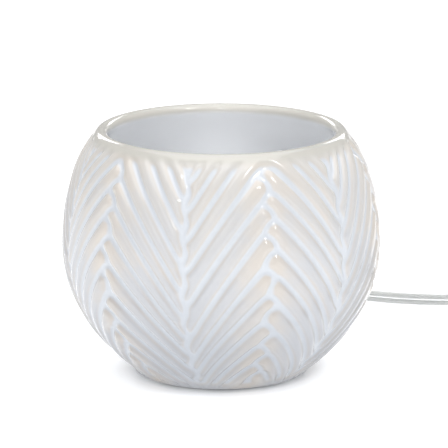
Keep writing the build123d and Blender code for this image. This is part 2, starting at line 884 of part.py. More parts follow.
def switch_screw_places():
    along = switch_length / 2 - switch_screw_inset[0]
    across = switch_width / 2 - switch_screw_inset[1]
    return [Pos(-along, across), Pos(along, across)]


def make_switch_lower():
    shell = extrude(switch_outline(0), parting_height)
    shell = fillet(shell.edges().group_by(Axis.Z)[0], switch_bottom_round)
    shell -= extrude(Pos(Z=switch_wall) * switch_outline(switch_wall), parting_height)
    boss = disc(switch_boss_radius, switch_wall / 2, parting_height)
    shell += [place * boss for place in switch_screw_places()]
    shank = disc(switch_screw_radius + thread_clearance, -overcut, parting_height + overcut)
    head = disc(switch_screw_head + thread_clearance, -overcut, switch_screw_head_height)
    shell -= [place * (shank + head) for place in switch_screw_places()]
    return switch_place * (shell - switch_slots())


def make_switch_upper():
    roof = switch_height - switch_wall
    shell = extrude(Pos(Z=parting_height) * switch_outline(0), switch_height - parting_height)
    shell = fillet(shell.edges().group_by(Axis.Z)[-1], switch_top_round)
    shell -= extrude(Pos(Z=parting_height) * switch_outline(switch_wall), roof - parting_height)
    shell += [place * disc(switch_boss_radius, parting_height, roof) for place in switch_screw_places()]
    pilot = disc(switch_screw_radius, parting_height - overcut, roof - bore_extra)
    shell -= [place * pilot for place in switch_screw_places()]
    shell -= Pos(Z=switch_height) * Box(window_length, window_width, 2 * switch_wall + overcut)
    rib_low = pivot_height - rib_width / 2
    rib = Box(rib_width, rib_thickness, roof - rib_low, align=on_base)
    rib_middle = rocker_width / 2 + rib_gap + rib_thickness / 2
    shell += [Pos(0, side * rib_middle, rib_low) * rib for side in (-1, 1)]
    rib_outside = rib_middle + rib_thickness
    bearing = along_y(trunnion_radius + trunnion_clearance, -rib_outside, rib_outside, pivot_height)
    return switch_place * (shell - bearing - switch_slots())


rocker_place = switch_place * Pos(Z=pivot_height) * Rot(Y=-rocker_tilt)


def make_switch_rocker():
    profile = make_face(Polyline(
        (-rocker_sweep, -rocker_depth),
        (rocker_sweep, -rocker_depth),
        (rocker_sweep, rocker_rise),
        (0, rocker_rise - rocker_dish),
        (-rocker_sweep, rocker_rise),
        close=True,
    ))
    profile = profile & Circle(rocker_sweep)
    body = extrude(Plane.XZ * profile, rocker_width / 2, both=True)
    trunnion_reach = rocker_width / 2 + trunnion_length
    body += along_y(trunnion_radius, -trunnion_reach, trunnion_reach, 0)
    return rocker_place * body


def make_contact_bridge():
    bridge = Box(bridge_width, bridge_span, bridge_thickness, align=(Align.CENTER, Align.CENTER, Align.MAX))
    return rocker_place * Pos(X=bridge_place, Z=-rocker_depth) * bridge


def contact_top():
    # Height of the fixed contacts, just under the bridge when the rocker is pressed down on their side
    tilt = math.radians(rocker_tilt)
    drop = (rocker_depth + bridge_thickness) * math.cos(tilt)
    drop += (bridge_place + bridge_width / 2) * math.sin(tilt)
    return pivot_height - drop - contact_gap


def make_switch_contacts():
    align = (Align.MIN, Align.CENTER, Align.MIN)
    contacts = Part()
    for side in (-1, 1):
        # One strip runs back to the supply side, the other on to the warmer's side
        far_end = -side * contact_end
        start = min(far_end, bridge_place - bridge_width / 2)
        end = max(far_end, bridge_place + bridge_width / 2)
        strip = Pos(X=start) * Box(end - start, contact_width, contact_thickness, align=align)
        post = Box(bridge_width, contact_width, contact_top() - switch_wall, align=align)
        strip += Pos(X=bridge_place - bridge_width / 2) * post
        tab_start = far_end if side > 0 else far_end - contact_thickness
        strip += Pos(X=tab_start) * Box(contact_thickness, contact_width, parting_height, align=align)
        contacts += Pos(0, side * contact_spacing / 2, switch_wall) * strip
    return switch_place * contacts


def make_switch_cores():
    # One core runs through on the floor of the lower shell, the other is cut and ends on the contacts
    reach = switch_reach
    low = parting_height - lobe_offset
    high = parting_height + lobe_offset
    floor_level = switch_wall + core_radius + switch_slot_clearance
    through = [
        (-reach, 0, low),
        (-reach + lead_bend, 0, low),
        (-contact_end, -core_side, floor_level),
        (contact_end, -core_side, floor_level),
        (reach - lead_bend, 0, low),
        (reach, 0, low),
    ]
    cores = wire(through, core_radius, lead_bend)
    level = high - core_radius / 2
    for side in (-1, 1):
        points = [
            (side * reach, 0, high),
            (side * (reach - lead_bend), 0, high),
            (side * (contact_end + lead_bend), -side * contact_spacing / 2, level),
            (side * contact_end, -side * contact_spacing / 2, level),
        ]
        cores += wire(points, core_radius, lead_bend / 2)
    return switch_place * cores


def make_switch_screws():
    seat = switch_screw_head_height
    screw = disc(switch_screw_head, seat / 4, seat)
    screw += disc(switch_screw_radius, seat, switch_height - 2 * switch_wall - bore_extra)
    screw -= Pos(Z=seat / 4) * Box(2 * switch_screw_head, driver_slot_width, seat)
    return switch_place * (Part() + [place * screw for place in switch_screw_places()])


plug_place = Location((end_route[-1][0], end_route[-1][1], plug_middle), (0, 0, math.degrees(plug_heading)))


def blade_bar(width, side):
    length = blade_root + blade_length
    bar = Box(length, blade_thickness, width, align=(Align.MIN, Align.CENTER, Align.CENTER))
    return Pos(plug_length - blade_root, side * blade_spacing / 2) * bar


def make_plug_body():
    tail_width = cord_thickness + 2 * plug_tail_wall
    tail_height = cord_width + 2 * plug_tail_wall
    stations = [
        (0, tail_width, tail_height, plug_tail_corner),
        (plug_neck_place, plug_neck_width, plug_neck_height, plug_tail_corner),
        (plug_body_place, plug_body_width, plug_height, plug_corner),
        (plug_length, plug_front_width, plug_height, plug_corner),
    ]
    sections = []
    for place, width, height, corner in stations:
        plane = Plane(origin=(place, 0, 0), x_dir=(0, 1, 0), z_dir=(1, 0, 0))
        sections.append(plane * RectangleRounded(width, height, corner))
    body = loft(sections, ruled=True)
    for index in range(grip_count):
        place = grip_first + grip_pitch * index
        share = (place - plug_body_place) / (plug_length - plug_body_place)
        half = (plug_body_width + (plug_front_width - plug_body_width) * share) / 2
        cut = Box(grip_width, plug_height, plug_height)
        for side in (-1, 1):
            body -= Pos(place, side * (half + plug_height / 2 - grip_depth)) * cut
    body -= blade_bar(blade_width, 1) + blade_bar(wide_blade_width, -1)
    return plug_place * body


def make_plug_blades():
    blades = Part()
    for width, side in ((blade_width, 1), (wide_blade_width, -1)):
        bar = blade_bar(width, side)
        bar = chamfer(bar.faces().sort_by(Axis.X)[-1].edges(), blade_tip)
        hole = Pos(plug_length + blade_hole_place, 0, 0) * Rot(X=90) * Cylinder(blade_hole, 4 * blade_spacing)
        blades += bar - hole
    return plug_place * blades


nodes = {
    "ceramic_shell": make_ceramic_shell,
    "wax_dish": make_wax_dish,
    "hot_plate": make_hot_plate,
    "plate_gasket": make_plate_gasket,
    "plate_studs": make_plate_studs,
    "stud_washers": make_stud_washers,
    "heater_block": make_heater_block,
    "heating_element": make_heating_element,
    "heater_tabs": make_heater_tabs,
    "mica_disc": make_mica_disc,
    "clamp_spider": make_clamp_spider,
    "heat_shield": make_heat_shield,
    "cover_posts": make_cover_posts,
    "base_cover": make_base_cover,
    "cover_screws": make_cover_screws,
    "rubber_feet": make_rubber_feet,
    "terminal_block": make_terminal_block,
    "terminal_tubes": make_terminal_tubes,
    "terminal_screws": make_terminal_screws,
    "block_screw": make_block_screw,
    "thermal_fuse": make_thermal_fuse,
    "fuse_clip": make_fuse_clip,
    "live_lead": make_live_lead,
    "fuse_link": make_fuse_link,
    "neutral_lead": make_neutral_lead,
    "cord_cores": make_cord_cores,
    "cord_inlet": make_cord_inlet,
    "strain_relief": make_strain_relief,
    "cord_lead": lambda: free_cord("cord_lead", lead_route),
    "switch_lower": make_switch_lower,
    "switch_upper": make_switch_upper,
    "switch_rocker": make_switch_rocker,
    "contact_bridge": make_contact_bridge,
    "switch_contacts": make_switch_contacts,
    "switch_cores": make_switch_cores,
    "switch_screws": make_switch_screws,
    "cord_link": lambda: free_cord("cord_link", link_route),
    "cord_coil": make_cord_coil,
    "cord_tie": make_cord_tie,
    "cord_end": lambda: free_cord("cord_end", end_route),
    "plug_body": make_plug_body,
    "plug_blades": make_plug_blades,
}

os.makedirs("parts", exist_ok=True)
for name, make in nodes.items():
    export_step(make(), f"parts/{name}.step")
print("rocker axis", -switch_way.Y, switch_way.X, "through", switch_centre.X, switch_centre.Y, pivot_height)
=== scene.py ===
import json
import math
import random

import bpy
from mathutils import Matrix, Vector


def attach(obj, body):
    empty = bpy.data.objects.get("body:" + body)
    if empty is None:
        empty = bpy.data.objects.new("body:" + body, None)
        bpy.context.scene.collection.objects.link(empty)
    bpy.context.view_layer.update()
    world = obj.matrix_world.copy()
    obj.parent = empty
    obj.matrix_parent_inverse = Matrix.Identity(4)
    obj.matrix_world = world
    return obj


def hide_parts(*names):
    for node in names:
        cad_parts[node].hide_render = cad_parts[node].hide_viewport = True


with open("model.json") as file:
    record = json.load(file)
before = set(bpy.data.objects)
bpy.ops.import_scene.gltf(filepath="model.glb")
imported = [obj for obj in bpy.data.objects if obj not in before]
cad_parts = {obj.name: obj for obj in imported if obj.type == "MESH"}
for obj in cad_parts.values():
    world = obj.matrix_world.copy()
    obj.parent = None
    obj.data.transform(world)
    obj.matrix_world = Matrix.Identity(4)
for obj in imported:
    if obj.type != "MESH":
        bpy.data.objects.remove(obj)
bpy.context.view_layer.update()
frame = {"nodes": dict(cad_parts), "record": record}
nodes = frame["nodes"]
print("frame loaded,", len(nodes), "nodes")

mm = 0.001
scene = bpy.context.scene


# camera

camera = {
    "place": (0.0, -1.4792, 0.4209),
    "tilt": 76.32,
    "lens": 299.6,
    "shift": 0.0062,
}
cameraData = bpy.data.cameras.new("camera")
cameraData.lens = camera["lens"]
cameraData.shift_x = camera["shift"]
cameraObject = bpy.data.objects.new("camera", cameraData)
cameraObject.location = camera["place"]
cameraObject.rotation_euler = (math.radians(camera["tilt"]), 0, 0)
scene.collection.objects.link(cameraObject)
scene.camera = cameraObject
scene.view_settings.view_transform = "Standard"
print("camera placed")


# small helpers for node trees

def addNode(tree, kind, **settings):
    node = tree.nodes.new(kind)
    for name, value in settings.items():
        setattr(node, name, value)
    return node


def feed(tree, socket, value):
    if isinstance(value, bpy.types.NodeSocket):
        tree.links.new(value, socket)
    elif value is not None:
        socket.default_value = value


def calc(tree, operation, a, b=None, c=None):
    node = addNode(tree, "ShaderNodeMath", operation=operation)
    for socket, value in zip(node.inputs, (a, b, c)):
        feed(tree, socket, value)
    return node.outputs[0]


def ease(tree, value, low, high, start=0.0, end=1.0):
    node = addNode(tree, "ShaderNodeMapRange", interpolation_type="SMOOTHSTEP")
    for name, given in (("Value", value), ("From Min", low), ("From Max", high), ("To Min", start), ("To Max", end)):
        feed(tree, node.inputs[name], given)
    return node.outputs["Result"]


def newMaterial(name):
    material = bpy.data.materials.new(name)
    material.use_nodes = True
    tree = material.node_tree
    return material, tree, tree.nodes["Principled BSDF"]


def noise(tree, scale, detail=3.0, roughness=0.5, coords="Object"):
    place = addNode(tree, "ShaderNodeTexCoord")
    node = addNode(tree, "ShaderNodeTexNoise")
    tree.links.new(place.outputs[coords], node.inputs["Vector"])
    node.inputs["Scale"].default_value = scale
    node.inputs["Detail"].default_value = detail
    node.inputs["Roughness"].default_value = roughness
    return node.outputs["Fac"]


def blendColours(tree, factor, first, second):
    node = addNode(tree, "ShaderNodeMix", data_type="RGBA")
    feed(tree, node.inputs["Factor"], factor)
    feed(tree, node.inputs[6], first if isinstance(first, bpy.types.NodeSocket) else (*first, 1))
    feed(tree, node.inputs[7], second if isinstance(second, bpy.types.NodeSocket) else (*second, 1))
    return node.outputs[2]


def stored(tree, name):
    return addNode(tree, "ShaderNodeAttribute", attribute_name=name).outputs["Fac"]


def bump(tree, height, strength, distance):
    node = addNode(tree, "ShaderNodeBump")
    node.inputs["Strength"].default_value = strength
    node.inputs["Distance"].default_value = distance
    tree.links.new(height, node.inputs["Height"])
    return node.outputs["Normal"]


# carved ceramic shell

shell = {
    "radius": 65.0, "height": 101.0, "widest": 53.5, "wall": 5.0,
    "lip": 48.8, "foot": 30.8, "footGap": 1.0, "opening": 30.5,
    "floorTop": 40.0, "floorUnder": 35.0, "heaterHole": 18.0,
    "bowlCorner": 10.0, "cavityCorner": 4.0, "footRound": 0.8,
    "bowlRings": (36.0, 27.0), "cavityRings": (27.0, 40.0), "openingRound": 1.0, "footInset": ((1.2, 0.0), (0.5, 0.1)),
    "shoulderShares": (0.52, 1.215), "bellyShares": (0.50, 0.908),
    "columns": 540, "rowStep": 0.913, "wallSteps": 1200, "insideSteps": 12, "lipSteps": 8, "cornerSteps": 6,
}
carving = {
    # edges of the panels in degrees from the front, towards the right: valley and peak in turn
    "edges": [-13.5, 18.0, 50.0, 80.0, 109.4, 138.9, 168.3, 197.7, 227.1, 256.6, 286.0, 314.0],
    "rise": 46.0, "riseSpread": (0.97, 1.05), "bow": 0.3, "pitch": 12.2, "uneven": 0.16, "seed": 7,
    "barsPerPanel": 12, "topBar": 12.6, "overrun": (4, 2),
    "valleyInset": 0.3, "peakInset": 1.8, "insetSpread": 0.7, "pointsPerBar": 20,
    "depth": 1.4, "flank": 2.95, "rounding": 0.05, "reach": 4.8, "blend": 0.8, "aside": 50.0,
    "channel": 0.1, "sway": 0.8, "swayShift": 2.0,
    "collar": (109.5, 115.0), "footFade": (3.0, 9.0),
    # where bars of the front panels meet their peak and their valley, along the wall from the foot
    "frontBars": {
        -1: [(160.0, 113.0), (147.5, 101.0), (136.0, 90.0), (124.0, 76.5), (111.5, 64.0), (100.0, 53.5), (88.0, 42.0),
            (76.0, 32.0), (64.5, 22.5), (52.0, 8.0), (40.0, -5.0), (28.5, -17.0), (17.0, -29.0)],
        0: [(157.0, 108.5), (145.0, 97.0), (133.0, 85.5), (119.5, 73.5), (105.8, 60.0), (93.6, 43.5), (81.2, 28.5),
            (66.5, 19.0), (55.6, 9.0), (43.6, -3.0), (31.8, -15.0), (20.5, -26.0)],
        1: [(161.5, 114.0), (149.0, 102.0), (136.0, 89.0), (123.5, 76.0), (108.5, 63.0), (98.5, 54.0), (87.0, 38.5),
            (74.5, 28.0), (65.0, 18.0), (51.4, 5.0), (38.9, -8.0), (27.0, -20.0), (15.5, -31.0)],
    },
}


def panelTurn(place):
    # angle round the ball of a place counted in panels from the front valley
    edges = carving["edges"] + [carving["edges"][0] + 360]
    panel = min(int(place), len(edges) - 2)
    return math.radians(edges[panel] + (edges[panel + 1] - edges[panel]) * (place - panel) - 90)


def twoArcs(rise, drawIn, firstShare, totalShare):
    chordTurn = 2 * math.atan2(drawIn, rise)
    first, total = firstShare * chordTurn, totalShare * chordTurn
    rise1, in1 = math.sin(first), 1 - math.cos(first)
    rise2, in2 = math.sin(total) - rise1, math.cos(first) - math.cos(total)
    det = rise1 * in2 - rise2 * in1
    return (rise * in2 - rise2 * drawIn) / det, (rise1 * drawIn - in1 * rise) / det, first, total


middle = shell["radius"] - shell["wall"] / 2
lipMiddle = shell["height"] - shell["wall"] / 2
shoulder = twoArcs(lipMiddle - shell["widest"], middle - shell["lip"], *shell["shoulderShares"])
belly = twoArcs(shell["widest"] - shell["footGap"], middle - shell["foot"], *shell["bellyShares"])


def wallPoint(turn, off):
    # a point of the wall's section, turned up (+) or down (-) from the widest level, off its middle line
    side = 1 if turn >= 0 else -1
    radius1, radius2, first, _ = shoulder if side > 0 else belly
    centre, radius = Vector((middle - radius1, shell["widest"])), radius1
    if abs(turn) > first:
        centre = centre + Vector((math.cos(first), side * math.sin(first))) * (radius1 - radius2)
        radius = radius2
    return centre + Vector((math.cos(turn), math.sin(turn))) * (radius + off)


def steps(start, end, count):
    return [start + (end - start) * index / count for index in range(count + 1)]


def outerWall():
    # (radius, height, distance from the foot) of the outer wall, finely
    half = shell["wall"] / 2
    points = [wallPoint(turn, half) for turn in steps(-belly[3], shoulder[3], shell["wallSteps"])]
    run, rows = 0.0, []
    for before, here in zip([points[0]] + points, points):
        run += (here - before).length
        rows.append((here.x, here.y, run))
    return rows


outerRows = outerWall()
outerLength = outerRows[-1][2]


def onWall(climb):
    # radius and height of the outer wall at a distance from the foot
    place = min(max(climb / outerLength, 0), 1) * (len(outerRows) - 1)
    low = min(int(place), len(outerRows) - 2)
    while low > 0 and outerRows[low][2] > climb:
        low -= 1
    while low < len(outerRows) - 2 and outerRows[low + 1][2] < climb:
        low += 1
    a, b = outerRows[low], outerRows[low + 1]
    share = (climb - a[2]) / (b[2] - a[2])
    return a[0] + (b[0] - a[0]) * share, a[1] + (b[1] - a[1]) * share


def arcRows(centre, radius, start, end, count):
    return [(centre[0] + radius * math.cos(a), centre[1] + radius * math.sin(a)) for a in steps(start, end, count)]


def shellProfile():
    # closed section as (radius, height, climb on the carved wall or -1)
    half = shell["wall"] / 2
    firstClimb = next(row[2] for row in outerRows if row[1] > shell["footGap"] + shell["footRound"])
    count = round((outerLength - firstClimb) / shell["rowStep"])
    rows = [(*onWall(climb), climb) for climb in steps(firstClimb, outerLength, count)]
    plain = arcRows((shell["lip"], lipMiddle), half, shoulder[3], shoulder[3] + math.pi, shell["lipSteps"])[1:]
    inside = [wallPoint(turn, -half) for turn in steps(shoulder[3], 0, shell["insideSteps"])[1:]]
    plain += [(p.x, p.y) for p in inside]
    innerRadius = belly[0] - half
    axis = middle - belly[0]
    sides = (shell["bowlCorner"], shell["floorTop"], 1), (shell["cavityCorner"], shell["floorUnder"], -1)
    for corner, level, outward in sides:
        lift = level + outward * corner
        reach = math.sqrt((innerRadius - corner) ** 2 - (lift - shell["widest"]) ** 2)
        wallTurn = math.atan2(lift - shell["widest"], reach)
        arc = arcRows((axis + reach, lift), corner, wallTurn, -outward * math.pi / 2, shell["cornerSteps"])
        if outward > 0:
            plain += arc
            plain += [(radius, level) for radius in (*shell["bowlRings"], shell["heaterHole"])]
        else:
            plain += [(radius, level) for radius in (shell["heaterHole"], *shell["cavityRings"])]
            plain += arc[::-1]
            cavity = [wallPoint(turn, -half) for turn in steps(wallTurn, -belly[3], shell["insideSteps"])[1:]]
            plain += [(p.x, p.y) for p in cavity if p.x > shell["opening"] + 0.5]
    plain += [(shell["opening"], plain[-1][1] - shell["openingRound"]), (shell["opening"], shell["footGap"])]
    foot = rows[0][0]
    plain += [(foot - inset, shell["footGap"] + lift) for inset, lift in shell["footInset"]]
    return rows + [(*point, -1.0) for point in plain]


def spunMesh(name, profile, columns):
    # the section turned round, cut into triangles that run along the bars
    count = len(profile)
    perPanel = columns // len(carving["edges"])
    points, faces = [], []
    values = {"climb": [row[2] for row in profile] * columns}
    values.update({key: [] for key in ("toPeak", "valleyGap", "skipEven", "skipOdd")})
    for column in range(columns):
        panel, share = column // perPanel, column % perPanel / perPanel
        angle = panelTurn(panel + share)
        fromValley = 1 - share if panel % 2 else share
        width = panelTurn(panel + 1) - panelTurn(panel)
        for radius, height, climb in profile:
            points.append((radius * math.cos(angle) * mm, radius * math.sin(angle) * mm, height * mm))
            phase = 2 * math.pi * climb / carving["pitch"] + carving["swayShift"] * ((panel + 1) // 2)
            sway = carving["sway"] * math.sin(phase)
            values["valleyGap"].append(fromValley * width * radius + (sway if panel % 2 else -sway))
        values["toPeak"] += [fromValley] * count
        # bars on the far side of the valley are set aside
        values["skipEven"] += [carving["aside"] if fromValley < 0.5 and panel % 2 else 0.0] * count
        values["skipOdd"] += [carving["aside"] if fromValley < 0.5 and panel % 2 == 0 else 0.0] * count
    for column in range(columns):
        here, there = column * count, (column + 1) % columns * count
        rising = (column // perPanel) % 2 == 0
        for row in range(count):
            up = (row + 1) % count
            a, b, c, d = here + row, there + row, there + up, here + up
            faces += [(a, b, c), (a, c, d)] if rising else [(a, b, d), (b, c, d)]
    mesh = bpy.data.meshes.new(name)
    mesh.from_pydata(points, [], faces)
    for key, given in values.items():
        mesh.attributes.new(key, "FLOAT", "POINT").data.foreach_set("value", given)
    mesh.shade_smooth()
    return mesh


def barLines():
    # middle lines of the raised bars, each from its valley up to its peak
    random.seed(carving["seed"])
    points, edges, families = [], [], []
    panels = len(carving["edges"])
    for panel in range(panels):
        places = carving["frontBars"].get(panel if panel < panels / 2 else panel - panels)
        if places is None:
            shift = random.random()
            places = []
            for index in range(carving["barsPerPanel"]):
                jitter = random.uniform(-1, 1) * carving["uneven"]
                peak = (carving["topBar"] - index + shift + jitter) * carving["pitch"]
                places.append((peak, peak - carving["rise"] * random.uniform(*carving["riseSpread"])))
        panelAngle = panelTurn(panel + 1) - panelTurn(panel)
        for index, (peak, valley) in enumerate(places):
            start = len(points)
            width = panelAngle * onWall((peak + valley) / 2)[0]
            first = carving["valleyInset"] / width
            last = 1 - (carving["peakInset"] + random.uniform(-1, 1) * carving["insetSpread"]) / width
            for step in range(carving["pointsPerBar"]):
                along = step / (carving["pointsPerBar"] - 1)
                share = first + (last - first) * along
                climb = valley + (peak - valley) * (share + carving["bow"] * share * (1 - share))
                if not -carving["overrun"][0] < climb < outerLength + carving["overrun"][1]:
                    continue
                angle = panelTurn(panel + (share if panel % 2 == 0 else 1 - share))
                radius, height = onWall(climb)
                points.append((radius * math.cos(angle) * mm, radius * math.sin(angle) * mm, height * mm))
            made = range(start, len(points) - 1)
            edges += [(point, point + 1) for point in made]
            families += [2 * (panel % 2) + index % 2] * len(made)
    mesh = bpy.data.meshes.new("barLines")
    mesh.from_pydata(points, edges, [])
    family = mesh.attributes.new("family", "INT", "EDGE")
    family.data.foreach_set("value", families)
    lines = bpy.data.objects.new("barLines", mesh)
    scene.collection.objects.link(lines)
    return lines


def carvingTree():
    tree = bpy.data.node_groups.new("herringboneCarving", "GeometryNodeTree")
    face = tree.interface
    face.new_socket("Geometry", in_out="INPUT", socket_type="NodeSocketGeometry")
    keys = {}
    wanted = ["Bar lines", "Groove depth", "Flank", "Rounding", "Bar reach", "Channel", "Edge blend",
        "Collar start", "Collar end", "Foot start", "Foot end", "Glaze"]
    kinds = {"Bar lines": "NodeSocketObject", "Glaze": "NodeSocketMaterial"}
    for name in wanted:
        keys[name] = face.new_socket(name, in_out="INPUT", socket_type=kinds.get(name, "NodeSocketFloat")).identifier
    face.new_socket("Geometry", in_out="OUTPUT", socket_type="NodeSocketGeometry")
    given = addNode(tree, "NodeGroupInput").outputs
    lines = addNode(tree, "GeometryNodeObjectInfo")
    tree.links.new(given["Bar lines"], lines.inputs["Object"])
    family = addNode(tree, "GeometryNodeInputNamedAttribute", data_type="INT")
    family.inputs["Name"].default_value = "family"
    own = {}
    for name in ("climb", "valleyGap", "skipEven", "skipOdd"):
        read = addNode(tree, "GeometryNodeInputNamedAttribute", data_type="FLOAT")
        read.inputs["Name"].default_value = name
        own[name] = read.outputs["Attribute"]
    distances = []
    for group in range(4):
        near = addNode(tree, "GeometryNodeProximity", target_element="EDGES")
        tree.links.new(lines.outputs["Geometry"], near.inputs[0])
        tree.links.new(family.outputs["Attribute"], near.inputs["Group ID"])
        near.inputs["Sample Group ID"].default_value = group
        aside = own["skipEven" if group < 2 else "skipOdd"]
        distances.append(calc(tree, "MULTIPLY_ADD", near.outputs["Distance"], 1 / mm, aside))
    a, b, c, d = distances
    lowPair, highPair = calc(tree, "MINIMUM", a, b), calc(tree, "MAXIMUM", a, b)
    lowOther, highOther = calc(tree, "MINIMUM", c, d), calc(tree, "MAXIMUM", c, d)
    nearest = calc(tree, "MINIMUM", lowPair, lowOther)
    second = calc(tree, "MINIMUM", calc(tree, "MAXIMUM", lowPair, lowOther), calc(tree, "MINIMUM", highPair, highOther))
    fromGroove = calc(tree, "MULTIPLY", calc(tree, "SUBTRACT", second, nearest), 0.5)
    between = calc(tree, "DIVIDE", fromGroove, given["Flank"])
    within = calc(tree, "DIVIDE", calc(tree, "SUBTRACT", given["Bar reach"], nearest), given["Flank"])
    beside = calc(tree, "DIVIDE", calc(tree, "SUBTRACT", own["valleyGap"], given["Channel"]), given["Flank"])
    inward = calc(tree, "SMOOTH_MIN", between, within, given["Edge blend"])
    inward = calc(tree, "SMOOTH_MIN", inward, beside, given["Edge blend"])
    slope = calc(tree, "SUBTRACT", 1.0, calc(tree, "MINIMUM", calc(tree, "MAXIMUM", inward, 0.0), 1.0))
    hollow = ease(tree, slope, given["Rounding"], 1.0)
    top = ease(tree, own["climb"], given["Collar start"], given["Collar end"], 1.0, 0.0)
    bottom = ease(tree, own["climb"], given["Foot start"], given["Foot end"])
    fade = calc(tree, "MULTIPLY", top, bottom)
    cut = calc(tree, "MULTIPLY", hollow, fade)
    depth = calc(tree, "MULTIPLY", calc(tree, "MULTIPLY", cut, given["Groove depth"]), -mm)
    normal = addNode(tree, "GeometryNodeInputNormal")
    push = addNode(tree, "ShaderNodeVectorMath", operation="SCALE")
    tree.links.new(normal.outputs["Normal"], push.inputs[0])
    tree.links.new(depth, push.inputs["Scale"])
    kept = given["Geometry"]
    for name, value in (("pooled", cut), ("edge", calc(tree, "MULTIPLY", slope, fade))):
        keep = addNode(tree, "GeometryNodeStoreNamedAttribute", data_type="FLOAT", domain="POINT")
        keep.inputs["Name"].default_value = name
        tree.links.new(kept, keep.inputs["Geometry"])
        tree.links.new(value, keep.inputs["Value"])
        kept = keep.outputs["Geometry"]
    move = addNode(tree, "GeometryNodeSetPosition")
    tree.links.new(kept, move.inputs["Geometry"])
    tree.links.new(push.outputs["Vector"], move.inputs["Offset"])
    whole = addNode(tree, "GeometryNodeRealizeInstances")
    tree.links.new(move.outputs["Geometry"], whole.inputs["Geometry"])
    paint = addNode(tree, "GeometryNodeSetMaterial")
    tree.links.new(whole.outputs["Geometry"], paint.inputs["Geometry"])
    tree.links.new(given["Glaze"], paint.inputs["Material"])
    tree.links.new(paint.outputs["Geometry"], addNode(tree, "NodeGroupOutput").inputs["Geometry"])
    return tree, keys


glaze = {
    # body, from the belly up to the shoulder
    "cool": (0.62, 0.63, 0.655), "warm": (0.675, 0.655, 0.63), "warmClimb": (60.0, 110.0),
    # thin glaze at the tips and edges of the bars, thick glaze in the grooves
    "thin": (0.695, 0.645, 0.59), "tipShare": (0.45, 1.05), "edgeShare": (0.1, 0.9),
    "thick": (0.71, 0.745, 0.795), "thickShare": (0.4, 0.95),
    # painted shade: darker towards the foot, the glaze blended towards a dark colour in place of the lower ball's
    # shading
    "low": (0.0, 0.02, 0.06), "shadeClimb": (25.0, 75.0), "shadeShare": 0.28, "footClimb": (2.0, 18.0),
    "collar": (0.60, 0.585, 0.54), "collarClimb": (111.0, 115.0),
    # inside glaze: the bluish tint is the glaze's own, its extra lightness over the outside glaze is painted light
    # inside the bowl
    "inside": (0.93, 0.945, 0.97), "insideClimb": (-0.9, 0.0),
    "lip": (0.66, 0.64, 0.59), "lipLevel": (0.0965, 0.099),
    # painted shade: a thin darker line along the crest of the lip
    "crestShade": (0.54, 0.525, 0.485), "crestShadeLevel": (0.0996, 0.1007),
    # how far the drifting noise moves each border
    "driftScale": 55.0, "thickDrift": 0.2, "warmDrift": 60.0, "tipDrift": 0.9, "edgeDrift": 1.2,
    "roughness": 0.14, "ior": 1.5, "coat": 0.4, "coatRoughness": 0.06,
    "skinScale": 260.0, "skinStrength": 0.05, "skinDepth": 0.0006,
}


def shellGlaze():
    material, tree, surface = newMaterial("shellGlaze")
    climb = stored(tree, "climb")
    drift = calc(tree, "SUBTRACT", noise(tree, glaze["driftScale"], 4.0, 0.6), 0.5)

    def drifting(name, value):
        return calc(tree, "MULTIPLY_ADD", drift, glaze[name], value)

    warm = ease(tree, drifting("warmDrift", climb), *glaze["warmClimb"])
    body = blendColours(tree, warm, glaze["cool"], glaze["warm"])
    tips = ease(tree, drifting("tipDrift", stored(tree, "toPeak")), *glaze["tipShare"])
    edges = ease(tree, drifting("edgeDrift", stored(tree, "edge")), *glaze["edgeShare"])
    bars = blendColours(tree, calc(tree, "MAXIMUM", tips, edges), body, glaze["thin"])
    filled = ease(tree, drifting("thickDrift", stored(tree, "pooled")), *glaze["thickShare"])
    carved = blendColours(tree, filled, bars, glaze["thick"])
    # painted shade: the outside glaze is blended towards a dark colour towards the foot
    low = ease(tree, climb, *glaze["shadeClimb"], glaze["shadeShare"], 0.0)
    footShade = calc(tree, "MULTIPLY", low, ease(tree, climb, *glaze["footClimb"]))
    outside = blendColours(tree, footShade, carved, glaze["low"])
    rim = blendColours(tree, ease(tree, climb, *glaze["collarClimb"]), outside, glaze["collar"])
    level = addNode(tree, "ShaderNodeSeparateXYZ")
    tree.links.new(addNode(tree, "ShaderNodeTexCoord").outputs["Object"], level.inputs["Vector"])
    lip = ease(tree, level.outputs["Z"], *glaze["lipLevel"])
    # painted light: the inside glaze is made much lighter than the outside glaze; its bluish tint is the glaze's own
    inner = blendColours(tree, lip, glaze["inside"], glaze["lip"])
    glazed = blendColours(tree, ease(tree, climb, *glaze["insideClimb"]), inner, rim)
    # painted shade: a thin darker line painted along the lip's crest
    crestShade = ease(tree, level.outputs["Z"], *glaze["crestShadeLevel"])
    tree.links.new(blendColours(tree, crestShade, glazed, glaze["crestShade"]), surface.inputs["Base Color"])
    surface.inputs["Roughness"].default_value = glaze["roughness"]
    surface.inputs["IOR"].default_value = glaze["ior"]
    surface.inputs["Coat Weight"].default_value = glaze["coat"]
    surface.inputs["Coat Roughness"].default_value = glaze["coatRoughness"]
    skin = bump(tree, noise(tree, glaze["skinScale"], 2.0, 0.4), glaze["skinStrength"], glaze["skinDepth"])
    tree.links.new(skin, surface.inputs["Normal"])
    return material


def plainMesh(source, name):
    # the evaluated shape of an object as an object of its own
    bpy.context.view_layer.update()
    evaluated = source.evaluated_get(bpy.context.evaluated_depsgraph_get())
    mesh = bpy.data.meshes.new_from_object(evaluated)
    mesh.name = name
    bpy.data.objects.remove(source)
    made = bpy.data.objects.new(name, mesh)
    scene.collection.objects.link(made)
    return made


